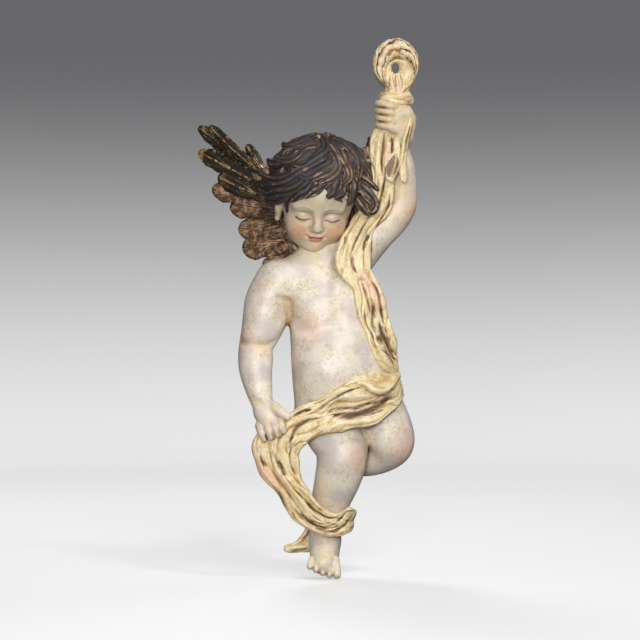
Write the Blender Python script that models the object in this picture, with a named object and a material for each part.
"""A hanging putto: a winged infant in painted cast plaster who grips a long cloth.

The cloth is knotted into a loop above the raised hand, and the loop's eye is what the figure hangs by.
The whole figure is one casting, so it is one solid. The origin is the centre of the eye, +Z is up and
the figure is seen from the front by looking along +Y. Lengths on the drawing are millimetres, and
every one of them scales with HEIGHT.
"""

import math
import random

import bmesh
import bpy
from mathutils import Matrix, Vector
from mathutils.bvhtree import BVHTree

# Driving dimensions
HEIGHT = 0.600  # top of the cloth loop to the tips of the toes
DRAWN_HEIGHT = 600.0  # the same height in the drawing's millimetres
MM = HEIGHT / DRAWN_HEIGHT
TORSO_TURN = math.radians(22.0)  # how far the chest is turned to the figure's left
HEAD_NOD = math.radians(28.0)  # how far the face looks down
HEAD_ROLL = math.radians(-4.0)
HAIR_DEPTH = 7.0  # how far the locks stand off the cap of hair
TRIANGLES = 9700  # in the finished faceted solid
FLESH_GRAIN = 2.0  # voxel that fuses the limbs and the torso
CAST_GRAIN = 1.6  # voxel that fuses the flesh with all that lies on it

UP = Vector((0.0, 0.0, 1.0))
FRONT = Vector((0.0, -1.0, 0.0))
TORSO_FRONT = Vector((math.sin(TORSO_TURN), -math.cos(TORSO_TURN), 0.0))
TORSO_RIGHT = Vector((-math.cos(TORSO_TURN), -math.sin(TORSO_TURN), 0.0))  # the figure's own right


def at(x, y, z):
    """A point of the drawing, in metres."""
    return Vector((x, y, z)) * MM


# Torso: level sections of (x, y, z, half width, half depth), from the neck down
TORSO = (
    (-80, 10, -194, 20, 19),
    (-82, 10, -206, 32, 22),
    (-84, 9, -216, 47, 25),
    (-84, 7, -230, 59, 30),
    (-73, 5, -248, 56, 35),
    (-67, 3, -268, 56, 38),
    (-64, 1, -290, 57, 40),
    (-61, -1, -315, 58.5, 43),
    (-58.5, -2, -338, 60, 44),
    (-56.5, 0, -358, 60.5, 43),
    (-54.5, 4, -378, 60, 42),
    (-55, 9, -396, 54, 38),
    (-57, 12, -410, 38, 28),
)
BACK_EGGS = (  # (centre), (half sizes along the torso's side, front and up)
    ((-84, 34, -388), (31, 27, 31)),
    ((-38, 45, -386), (31, 27, 31)),
    ((-94, 32, -250), (25, 15, 32)),
    ((-50, 38, -246), (25, 15, 32)),
)
NECK = ((-82, 12, -214, 25), (-85, 8, -184, 23))

# Limbs: chains of (x, y, z, radius)
RIGHT_ARM = (
    (-131, -10, -239, 26.5),
    (-143, -12, -259, 24.5),
    (-146, -13, -279, 24.5),
    (-151, -15, -297, 21.5),
    (-155.5, -16, -311, 19.6),
    (-156, -18, -324, 19.2),
    (-155.5, -22, -338, 17.8),
    (-152, -27, -357, 14.8),
    (-148.5, -31, -373, 11.8),
)
LEFT_ARM = (
    (-46, 16, -208, 25),
    (-24, 16, -184, 22.5),
    (-6, 17, -167, 21),
    (5, 16, -152, 18.5),
    (7.5, 14, -135, 17),
    (6.5, 11, -112, 15.5),
    (4, 8, -95, 12.5),
    (3.5, 4, -80, 10.5),
    (8, 2, -66, 10.5),
)
RIGHT_LEG = (
    (-80, -2, -387, 33),
    (-69, -8, -406, 31.5),
    (-61, -12, -422, 29),
    (-61, -13, -440, 28),
    (-62, -10, -458, 27),
    (-66, -4, -474, 23.8),
    (-70, 0, -490, 22.4),
    (-74, 3, -504, 19.6),
    (-78, 4, -516, 17.4),
    (-79, 4, -525, 16.8),
)
LEFT_LEG = (
    (-30, 16, -386, 33),
    (-15, 12, -404, 29.5),
    (-4, 8, -420, 26),
    (-2, 10, -431, 23),
    (-11, 19, -434, 21.5),
    (-28, 30, -436, 21),
    (-46, 41, -438, 18.5),
    (-62, 49, -441, 14.5),
)

# Head, in its own frame: half sizes along side, face and crown
SKULL_CENTRE = at(-87, 4, -132)
SKULL = ((0, -4, 0), (46, 51, 48))
HAIR_CAP = ((0, -8, 6), (53, 52, 45))
FACE_EGGS = (
    ((0, 12, -30), (35, 31, 34)),
    ((0, 29, -50), (14, 13, 12)),
    ((-18, 25, -34), (15, 15, 15)),
    ((18, 25, -34), (15, 15, 15)),
    ((0, 41, -14), (6, 5, 12)),
    ((0, 43.5, -27), (5.5, 7.5, 5.5)),
    ((0, 39, -42), (9, 6, 4.5)),
    ((-15.5, 35, -19), (8.5, 8, 6)),
    ((15.5, 35, -19), (8.5, 8, 6)),
)
EAR_SIZE = (3.5, 8, 12)
EAR_PLACE = (43, -3, -20)
SIDE_CURL = (-29, -18, -151, 6.5, 4.2)  # x, y, z, ring radius, lock radius

# Hands and feet: chains of (x, y, z, radius)
RIGHT_PALM = ((-148, -34, -381, 12), (-143, -39, -393, 12.5))
RIGHT_FINGERS = (
    ((-151, -42, -396, 5), (-149.5, -47, -405, 4.5), (-147, -41, -409, 4)),
    ((-144, -46, -398, 5), (-142, -51, -407, 4.6), (-140.5, -44, -410.5, 4)),
    ((-137, -48, -396, 5), (-135.5, -53, -404, 4.6), (-134, -46, -408, 4)),
    ((-131, -47, -391, 5), (-129, -52, -399, 4.5), (-128, -45, -404, 4)),
)
RIGHT_THUMB = ((-138, -38, -377, 6.5), (-129, -46, -380, 5.4), (-121, -50, -384, 4.6))
LEFT_PALM = ((13, -1, -58, 9), (5, -9, -53, 10), (-1, -10, -62, 10), (2, -6, -72, 9))
LEFT_FINGERS_TOP = -42.0  # height of the first finger
LEFT_FINGERS_STEP = 7.5  # each next finger is this much lower
FINGER = 4.1
RIGHT_FOOT = ((-79, 10, -528, 16), (-80, -4, -537, 16), (-82, -17, -546, 14.5), (-82.5, -22, -550, 13))
RIGHT_TOES = (  # (x, length, radius), from the small toe to the great toe
    (-97, 5, 3.6),
    (-90.5, 9, 4.0),
    (-83, 12, 4.3),
    (-75.5, 14, 4.4),
    (-66.5, 13, 6.2),
)
LEFT_FOOT = ((-60, 56, -447, 12.5), (-72, 49, -455, 12), (-80, 43, -463, 10.5), (-84, 40, -468, 9.5))

# Wing: every feather is (root across, root up, tip across, tip up, half width) on the wing's own plane,
# across away from the spine and up from the shoulder blade
WING_ROOT = (-104, 36, -228)
LEFT_WING_ROOT = (-50, 58, -214)
WING_SWEEP = math.radians(46.0)  # backward from the torso's side
WING_ARM = ((0, 0, 17), (14, 40, 16), (34, 84, 14), (48, 110, 11), (54, 116, 8))
PRIMARIES = (
    (36, 100, 128, 164, 8.5),
    (40, 108, 113, 161, 7),
    (38, 92, 126, 136, 9.5),
    (36, 86, 106, 110, 10),
    (46, 108, 69, 143, 5.5),
)
SECONDARIES = (
    (30, 92, 114, 97, 13),
    (26, 78, 90, 76, 12),
    (22, 58, 80, 50, 13),
    (18, 40, 74, 28, 14),
    (10, 20, 50, 6, 11),
)
COVERT_ROWS = 3
FEATHER_DEPTH = 5.5

# Cloth: stations of (first edge x, y, z, second edge x, y, z). The cloth's face looks along the strip's
# direction crossed with the line from the first edge to the second
BAND = (
    (-20, -2, -40, -4, -4, -40),
    (-22, -3, -62, 0, -6, -66),
    (-29, -4, -79, 4.5, -10, -87),
    (-30, -5, -94, 5, -11, -98),
    (-27, -7, -112, 0, -12, -115),
    (-26, -9, -130, -2, -12, -130),
    (-26, -10, -152, -4.5, -12, -154),
    (-37, -12, -169, -11, -10, -167),
    (-47, -16, -178, -20, -10, -176),
    (-55, -22, -187, -25.5, -10, -184),
    (-62, -26, -199, -27, -10, -198),
    (-69, -26, -214, -27, -12, -214),
    (-65, -26, -228, -27, -14, -226),
    (-59, -26, -238, -20, -14, -238),
    (-50, -26, -247, -16, -14, -248),
    (-48, -26, -262, -12, -14, -260),
    (-46, -26, -277, -10, -14, -273),
    (-39, -26, -291, -5, -12, -290),
    (-36, -26, -308, 0, -8, -302),
    (-30, -24, -323, 0, -4, -318),
    (-21, -20, -336, 1, 2, -331),
    (-9, -14, -344, 1.5, 8, -342),
    (-3, -8, -352, 2, 12, -351),
)
SASH = (
    (3, 44, -336, 7, 40, -360),
    (3, 22, -340, 6.5, 20, -365),
    (-1, 0, -343, 3, -2, -371),
    (-11, -18, -347, -4, -18, -380),
    (-24.5, -30, -346, -16, -30, -390),
    (-38, -40, -344, -31, -38, -399),
    (-51, -44, -346, -47, -42, -400),
    (-66, -46, -353, -62, -44, -403.5),
    (-79, -46, -364, -78, -46, -406),
    (-92.5, -44, -370, -90.5, -46, -410),
    (-105, -42, -374, -101, -44, -415),
    (-116, -42, -380, -112, -44, -411),
    (-124, -42, -387, -121, -44, -406),
)
FALL = (
    (-143, -38, -393, -118, -40, -397),
    (-153, -38, -404, -108, -40, -408),
    (-158, -38, -413, -103, -38, -418),
    (-159, -38, -425, -106.5, -37, -429),
    (-156, -37, -437, -107, -36, -439),
    (-151.5, -36, -450.5, -105.5, -35, -450.5),
    (-144, -35, -460.5, -101.5, -34, -460.5),
    (-135, -33, -468.5, -96, -33, -469),
    (-128, -31, -478, -89, -31, -479),
    (-122.5, -28, -488.5, -81.5, -29, -487.5),
    (-115, -24, -501, -72.5, -27, -493),
    (-100.5, -21, -511, -64, -26, -494),
    (-82.5, -20, -520, -58, -24, -491),
    (-66, -20, -521, -53, -20, -487),
    (-56, -12, -517, -48.5, -10, -490),
    (-52, 4, -514, -48, 4, -493),
    (-56, 20, -512, -55, 20, -496),
    (-72, 26, -512, -72, 26, -498),
    (-86, 24, -514, -86, 24, -500),
)
TAIL = (
    (-74, 24, -522, -74, 24, -502),
    (-90, 23, -532, -90, 23, -505),
    (-101, 20, -539, -102, 20, -515),
    (-110, 17, -540, -110, 18, -530),
    (-118, 15, -539.5, -118, 15, -532),
    (-124, 13, -538, -124, 13, -535.5),
)
WRIST_TAIL = (
    (6, -8, -62, 16, -2, -62),
    (6, -10, -80, 12.5, -8, -80),
    (6, -12, -91, 12, -10, -91),
    (5.5, -14, -104, 13.5, -10, -103),
    (2.5, -14, -116, 11.5, -11, -115),
    (2, -14, -124, 11, -11, -124),
    (5, -13, -130, 10, -11, -129),
)
TURNED_FLAP = (
    (0, -12, -90, 5.5, -12, -92),
    (-7, -15, -107, 5, -14, -105),
    (-12, -17, -118, 3, -16, -115),
    (-12, -17, -126, 1, -16, -124),
    (-10, -16, -130, -3, -16, -128),
)
CLOTH_DEPTH = 6.0
LOOP_CENTRE = (0, 0, 4)
LOOP_REACH = (17.5, 20.3)  # middle of the roll, half across and half up
LOOP_ROLL = (8.7, 12.5)  # half thickness of the roll in the loop's plane, and along its axis
LOOP_TURN = math.radians(-14.0)  # the roll's axis, turned from straight ahead
LINING_CENTRE = (0, 2, 0.3)
LINING_REACH = (9.9, 11.4)  # the same of the lining, which leaves the eye open
LINING_ROLL = (5.4, 6.5)
KNOT = ((-14, -4, -29, 5), (-6, -11, -30, 5.5), (4, -12, -33, 6), (11, -7, -33, 6.5), (13, 1, -29, 6))
KNOT_LOW = ((-14, -2, -37, 4.5), (-5, -11, -38, 4.5), (6, -10, -39, 4.5), (10, -2, -39, 4.5))
KNOT_BACK = ((-14, 0, -33, 6), (-6, 10, -33, 6.5), (6, 9, -33, 6.5), (12, 1, -33, 6))


class Clay:
    """Closed forms piled into one mesh, which a voxel remesh then fuses."""

    def __init__(self):
        self.bm = bmesh.new()

    def skin(self, rings, closed=False):
        """A body through rings of equal count, with a pole at each end or closed into a loop."""
        loops = [[self.bm.verts.new(point) for point in ring] for ring in rings]
        count = len(loops[0])
        following = loops[1:] + [loops[0]] if closed else loops[1:]
        for near, far in zip(loops, following):
            for i in range(count):
                j = (i + 1) % count
                self.bm.faces.new((near[i], near[j], far[j], far[i]))
        if closed:
            return
        for ring, order in ((loops[0], -1), (loops[-1], 1)):
            middle = sum((v.co for v in ring), Vector()) / count
            pole = self.bm.verts.new(middle)
            for i in range(count):
                pair = (ring[i], ring[(i + 1) % count])
                self.bm.faces.new((*pair[::order], pole))

    def egg(self, centre, half, axes):
        """An ellipsoid with these half sizes along the three axes."""
        frame = Matrix([axis * (size * MM) for axis, size in zip(axes, half)]).transposed().to_4x4()
        bmesh.ops.create_icosphere(
            self.bm, subdivisions=3, radius=1.0, matrix=Matrix.Translation(centre) @ frame
        )

    def limb(self, chain, sides=20, steps=4):
        """A round limb along a chain of (x, y, z, radius), with round ends."""
        line = smooth_line(chain, steps)
        first, last = line[0], line[-1]
        start = (Vector(line[0][:3]) - Vector(line[1][:3])).normalized()
        end = (Vector(line[-1][:3]) - Vector(line[-2][:3])).normalized()
        rounds = (0.94, 0.8, 0.55, 0.2)
        head = [round_end(first, start, share) for share in reversed(rounds)]
        tail = [round_end(last, end, share) for share in rounds]
        line = head + line + tail
        rings = []
        for i, (x, y, z, radius) in enumerate(line):
            before = Vector(line[max(i - 1, 0)][:3])
            after = Vector(line[min(i + 1, len(line) - 1)][:3])
            along = (after - before).normalized()
            side = along.cross(Vector((0.3, 1.0, 0.2))).normalized()
            other = along.cross(side)
            rings.append(
                [
                    at(x, y, z) + (side * math.cos(a) + other * math.sin(a)) * radius * MM
                    for a in turns(sides)
                ]
            )
        self.skin(rings)

    def add(self, obj):
        """Another object's faces."""
        self.bm.from_mesh(obj.data)

    def finish(self, name):
        """The forms as a mesh object."""
        bmesh.ops.recalc_face_normals(self.bm, faces=self.bm.faces)
        mesh = bpy.data.meshes.new(name)
        self.bm.to_mesh(mesh)
        obj = bpy.data.objects.new(name, mesh)
        bpy.context.scene.collection.objects.link(obj)
        return obj


def turns(count):
    """Angles of a full turn."""
    return [2.0 * math.pi * i / count for i in range(count)]


def smooth_line(points, steps):
    """A Catmull-Rom line through tuples of any length, with this many steps between two of them."""
    line = []
    for i in range(len(points) - 1):
        p0, p1, p2, p3 = (points[min(max(i + k, 0), len(points) - 1)] for k in (-1, 0, 1, 2))
        for step in range(steps):
            t = step / steps
            line.append(
                tuple(
                    0.5 * (2 * b + (c - a) * t + (2 * a - 5 * b + 4 * c - d) * t**2
                           + (3 * b - a - 3 * c + d) * t**3)
                    for a, b, c, d in zip(p0, p1, p2, p3)
                )
            )
    line.append(tuple(float(v) for v in points[-1]))
    return line


def round_end(station, direction, share):
    """A ring of a round end, this share of the radius beyond the limb's last point."""
    x, y, z, radius = station
    moved = Vector((x, y, z)) + direction * radius * math.sqrt(1 - share**2 * 0.96) * 0.98
    return (*moved, radius * share)


def head_axes():
    """The head's side, face and crown directions."""
    turn = Matrix.Rotation(HEAD_ROLL, 3, "Y") @ Matrix.Rotation(HEAD_NOD, 3, "X")
    return turn @ Vector((1, 0, 0)), turn @ FRONT, turn @ UP


def on_head(side, face, crown):
    """A point of the head's own frame, in metres."""
    a, b, c = head_axes()
    return SKULL_CENTRE + (a * side + b * face + c * crown) * MM


def model_flesh():
    """Torso, neck, arms, legs and head as one smooth form."""
    clay = Clay()
    clay.skin(
        [
            [
                at(x, y, z)
                + (TORSO_RIGHT * math.cos(a) * width + TORSO_FRONT * math.sin(a) * depth) * MM
                for a in turns(32)
            ]
            for x, y, z, width, depth in smooth_line(TORSO, 3)
        ]
    )
    for centre, half in BACK_EGGS:
        clay.egg(at(*centre), half, (TORSO_RIGHT, TORSO_FRONT, UP))
    for chain in (NECK, RIGHT_ARM, LEFT_ARM, RIGHT_LEG, LEFT_LEG, RIGHT_FOOT, LEFT_FOOT):
        clay.limb(chain)
    for centre, half in (SKULL,) + FACE_EGGS[:4]:
        clay.egg(on_head(*centre), half, head_axes())
    return fused(clay.finish("flesh"), FLESH_GRAIN, rounds=9)


def fused(obj, grain, rounds):
    """The object with its forms fused at this voxel size and smoothed this many rounds."""
    fuse = obj.modifiers.new("fuse", "REMESH")
    fuse.mode = "VOXEL"
    fuse.voxel_size = grain * MM
    soften = obj.modifiers.new("soften", "SMOOTH")
    soften.factor = 0.5
    soften.iterations = rounds
    bpy.context.view_layer.update()
    evaluated = obj.evaluated_get(bpy.context.evaluated_depsgraph_get())
    mesh = bpy.data.meshes.new_from_object(evaluated)
    obj.modifiers.clear()
    obj.data = mesh
    return obj


def add_details(clay):
    """Face, ears, hands and toes."""
    for centre, half in FACE_EGGS[4:]:
        clay.egg(on_head(*centre), half, head_axes())
    side, face, crown = EAR_PLACE
    for way in (-1, 1):
        clay.egg(on_head(way * side, face, crown), EAR_SIZE, head_axes())
    for chain in (RIGHT_PALM, RIGHT_THUMB, LEFT_PALM) + RIGHT_FINGERS:
        clay.limb(chain)
    add_left_fingers(clay)
    add_toes(clay)


def add_left_fingers(clay):
    """Four fingers closed round the gathered cloth below the knot."""
    for i in range(4):
        z = LEFT_FINGERS_TOP - i * LEFT_FINGERS_STEP
        clay.limb(
            (
                (1, -15, z - 5 - i, FINGER),
                (-11, -18, z - 2, FINGER * 1.05),
                (-19.5, -13, z, FINGER),
                (-20.5, -3, z + 1, FINGER * 0.95),
                (-16, 5, z + 1, FINGER * 0.85),
            )
        )


def add_toes(clay):
    """Five toes of the pointed right foot, and a plain set behind on the left foot."""
    for x, length, radius in RIGHT_TOES:
        clay.limb(
            (
                (x * 0.4 - 82 * 0.6, -20, -541, radius),
                (x, -27, -550, radius),
                (x, -30, -551 - length + radius * 0.4, radius * 0.95),
            )
        )
    for i in range(5):
        clay.limb(((-78 + i * 2, 50 - i * 5, -466, 3.6), (-87 + i * 2.4, 49 - i * 5.2, -474, 3.8)))


def scalp(polar, around, height):
    """A point over the cap of hair. Polar runs down from the crown, around from the face to the left."""
    centre, half = HAIR_CAP
    x = math.sin(polar) * math.sin(around)
    y = math.sin(polar) * math.cos(around)
    z = math.cos(polar)
    return on_head(*(c + v * (size + height) for c, v, size in zip(centre, (x, y, z), half)))


def hairline(around):
    """How far down from the crown the hair reaches on each side of the head."""
    back = 0.5 - 0.5 * math.cos(around)
    return math.radians(95.0 + 12.0 * math.sin(around) ** 2 + 26.0 * back**2)


def add_hair(clay):
    """A cap of hair, and rings of locks on it from the crown down to the hairline."""
    centre, half = HAIR_CAP
    clay.egg(on_head(*centre), half, head_axes())
    draw = random.Random(11)
    for row, (start, count) in enumerate(((0.66, 17), (0.44, 15), (0.24, 11), (0.04, 6))):
        for i in range(count):
            around = 2 * math.pi * (i + 0.5 * (row % 2) + draw.uniform(-0.2, 0.2)) / count
            swirl = draw.uniform(0.25, 0.5) * (1 if math.sin(around - 0.25) > 0 else -1)
            bend = draw.uniform(0.08, 0.16) * draw.choice((-1, 1))
            reach = 0.42 + draw.uniform(-0.05, 0.06)
            add_lock(clay, start, reach, around, swirl, bend, draw.uniform(0.95, 1.25), row)
    x, y, z, ring, roll = SIDE_CURL
    clay.limb(
        [
            (x + ring * math.sin(a), y - 2 * math.cos(a / 2), z + ring * math.cos(a), roll * (1 - a / 13))
            for a in (0.0, 0.8, 1.6, 2.4, 3.2, 4.0, 4.8, 5.6, 6.4)
        ],
        sides=12, steps=2,
    )


def add_lock(clay, start, reach, around, swirl, bend, size, row):
    """One lock: its roll runs down from the crown and lifts at its middle and its tip."""
    rings = []
    stations = 12
    for k in range(stations + 1):
        t = k / stations
        angle = around + swirl * t + bend * math.sin(2 * math.pi * t)
        polar = hairline(angle) * min(start + reach * t, 1.06)
        lift = HAIR_DEPTH * (0.15 + 0.85 * math.sin(math.pi * min(t * 1.1, 1.0)) + 0.06 * row)
        centre = scalp(polar, angle, lift - 3.0)
        ahead = scalp(polar + 0.02, angle + 0.02 * swirl, lift - 3.0)
        out = (scalp(polar, angle, lift + 5.0) - centre).normalized()
        along = (ahead - centre).normalized()
        across = along.cross(out).normalized()
        width = 9.0 * size * (math.sin(math.pi * (0.12 + 0.8 * t)) ** 0.7) * MM
        depth = 5.4 * size * (math.sin(math.pi * (0.15 + 0.75 * t)) ** 0.5) * MM
        rings.append(
            [centre + across * math.cos(a) * width + out * math.sin(a) * depth for a in turns(8)]
        )
    clay.skin(rings)


def wing_frame(right):
    """Root, outward, up and front directions of one wing."""
    side = 1.0 if right else -1.0
    outward = TORSO_RIGHT * side * math.cos(WING_SWEEP) - TORSO_FRONT * math.sin(WING_SWEEP)
    root = at(*(WING_ROOT if right else LEFT_WING_ROOT))
    return root, outward, UP, outward.cross(UP) * -side


def add_feather(clay, frame, feather, forward, depth, camber=3.0):
    """A long leaf with a rounded end, thick along its quill and thin at its edges."""
    root, outward, up, front = frame
    x0, z0, x1, z1, half = feather
    start, tip = Vector((x0, z0)), Vector((x1, z1))
    along = tip - start
    across = Vector((-along.y, along.x)).normalized()
    rings = []
    stations = 12
    for k in range(stations + 1):
        t = k / stations
        blunt = math.sqrt(max(1.0 - max((t - 0.72) / 0.28, 0.0) ** 2.2, 0.02))
        width = half * min(0.55 + 0.9 * t, 1.0) * blunt
        thick = depth * (1.0 - 0.45 * t) * 0.5
        bow = forward + camber * math.sin(math.pi * t)
        ring = []
        for a in turns(10):
            plane = start + along * t + across * width * math.cos(a)
            rise = bow + thick * math.sin(a) * (1.0 - 0.35 * abs(math.cos(a)))
            ring.append(root + (outward * plane.x + up * plane.y + front * rise) * MM)
        rings.append(ring)
    clay.skin(rings)


def add_wing(clay, right):
    """The wing's arm, its long and short flight feathers, and rows of small ones on both faces."""
    frame = wing_frame(right)
    root, outward, up, front = frame
    arm = []
    for across, height, radius in WING_ARM:
        point = (root + (outward * across + up * height) * MM) / MM
        arm.append((*point, radius * 0.8))
    clay.limb(arm)
    for i, feather in enumerate(PRIMARIES):
        add_feather(clay, frame, feather, (-2.0, -5.0, 1.5, 3.0, -3.0)[i], FEATHER_DEPTH * 1.25)
    for i, feather in enumerate(SECONDARIES):
        add_feather(clay, frame, feather, (0.5, 2.5, 0.5, 2.5, 0.0)[i], FEATHER_DEPTH * 1.3)
    for face in (-1.0, 1.0):
        for row in range(COVERT_ROWS):
            reach = 46.0 - 12.0 * row
            for i in range(7):
                height = 104.0 - 15.5 * i - 5.0 * row
                spring = 4.0 + 0.3 * height
                drop = 10.0 - 2.3 * (6 - i)
                feather = (spring, height, spring + reach * (0.62 + 0.05 * (6 - i)), height - drop, 8.0)
                add_feather(clay, frame, feather, face * (4.0 + 2.6 * row), FEATHER_DEPTH, face * 1.5)


def fold_relief(across, along, width):
    """Height of the cloth's folds at a share across it and a distance along it, in millimetres."""
    drift = 0.55 * math.sin(along * 0.028) + 0.35 * math.sin(along * 0.061 + 1.0)
    pleats = 2.2 + 0.03 * width
    wave = math.cos(math.pi * (across * pleats + drift))
    rim = max(0.0, (abs(across) - 0.72) / 0.28)
    return 2.3 * wave + 1.8 * math.sin(math.pi * min(rim, 1.0))


def add_cloth(clay, stations, body, rests=True, relief=1.0):
    """A folded strip between two edges, pushed out wherever it lies on the flesh."""
    line = smooth_line(stations, 5)
    columns = 15
    edges = [(at(*station[:3]), at(*station[3:])) for station in line]
    middles = [(a + b) / 2 for a, b in edges]
    travelled = 0.0
    base = []
    for i, (a, b) in enumerate(edges):
        along = (middles[min(i + 1, len(line) - 1)] - middles[max(i - 1, 0)]).normalized()
        face = along.cross(b - a).normalized()
        if i:
            travelled += (middles[i] - middles[i - 1]).length / MM
        half = (b - a).length / 2 / MM
        row = []
        for c in range(columns):
            share = c / (columns - 1)
            foot = a.lerp(b, share)
            lift = rest_height(body, foot, face) if rests else 0.0
            row.append((foot, face, lift, 2 * share - 1, travelled, half))
        base.append(row)
    rings = []
    for i, row in enumerate(base):
        front, back = [], []
        for c, (foot, face, lift, u, travelled, half) in enumerate(row):
            near = [base[r][k][2] for r in range(max(i - 2, 0), min(i + 3, len(base)))
                    for k in range(max(c - 1, 0), min(c + 2, columns))]
            lift = max(sum(near) / len(near), lift - 1.5 * MM)
            edge = math.sqrt(max(1.0 - u**6, 0.0))
            folds = relief * fold_relief(u, travelled, half) * min(half / 12.0, 1.0)
            front.append(foot + face * (lift + (CLOTH_DEPTH * 0.5 + folds) * edge * MM))
            back.append(foot + face * (lift - CLOTH_DEPTH * 0.5 * edge * MM))
        rings.append(front + back[-2:0:-1])
    clay.skin(rings)


def rest_height(body, foot, face):
    """How far a point of the cloth has to rise along its face to lie on the flesh."""
    far = 40.0 * MM
    hit = body.ray_cast(foot + face * far, -face, far + 10.0 * MM)
    if hit[0] is None:
        return 0.0
    return max(far - hit[3], 0.0)


def add_loop(clay):
    """The bunched loop: a roll with folds winding round it, a lining open at the eye, and the knot."""
    rolls = (
        (at(*LOOP_CENTRE), LOOP_REACH, LOOP_ROLL, LOOP_TURN, 0.09),
        (at(*LINING_CENTRE), LINING_REACH, LINING_ROLL, 0.0, 0.0),
    )
    for centre, reach, roll, turn, fold in rolls:
        right = Matrix.Rotation(turn, 3, "Z") @ Vector((1, 0, 0))
        axis = Matrix.Rotation(turn, 3, "Z") @ FRONT
        rings = []
        for a in turns(40):
            spoke = right * math.cos(a) + UP * math.sin(a)
            middle = centre + (right * math.cos(a) * reach[0] + UP * math.sin(a) * reach[1]) * MM
            rings.append(
                [
                    middle
                    + (spoke * math.cos(b) * roll[0] + axis * math.sin(b) * roll[1])
                    * (1.0 + fold * math.cos(5 * b + 1.5 * math.sin(a) + a))
                    * MM
                    for b in turns(16)
                ]
            )
        clay.skin(rings, closed=True)
    for chain in (KNOT, KNOT_LOW, KNOT_BACK):
        clay.limb(chain)
    clay.limb(((-2, 0, -24, 10), (-3, 0, -34, 11.5), (-6, -1, -50, 13), (-9, -2, -76, 14)))


def plaster():
    """Painted plaster in the cloth's ivory, with a soft sheen."""
    material = bpy.data.materials.new("painted_plaster")
    material.use_nodes = True
    shader = material.node_tree.nodes["Principled BSDF"]
    shader.inputs["Base Color"].default_value = (0.66, 0.58, 0.44, 1.0)
    shader.inputs["Roughness"].default_value = 0.38
    shader.inputs["Metallic"].default_value = 0.0
    return material


def main():
    """Builds the putto from an empty scene."""
    for obj in list(bpy.data.objects):
        bpy.data.objects.remove(obj)
    flesh = model_flesh()
    clay = Clay()
    clay.add(flesh)
    body = BVHTree.FromBMesh(clay.bm)
    bpy.data.objects.remove(flesh)
    add_details(clay)
    add_hair(clay)
    for right in (True, False):
        add_wing(clay, right)
    for stations in (BAND, SASH, FALL, TAIL):
        add_cloth(clay, stations, body)
    for stations in (WRIST_TAIL, TURNED_FLAP):
        add_cloth(clay, stations, body, rests=False, relief=0.4)
    add_loop(clay)
    putto = fused(clay.finish("putto"), CAST_GRAIN, rounds=3)
    facet = putto.modifiers.new("facet", "DECIMATE")
    facet.ratio = TRIANGLES / sum(len(p.vertices) - 2 for p in putto.data.polygons)
    facet.use_collapse_triangulate = True
    putto.data.materials.clear()
    putto.data.materials.append(plaster())


if __name__ == "__main__":
    main()
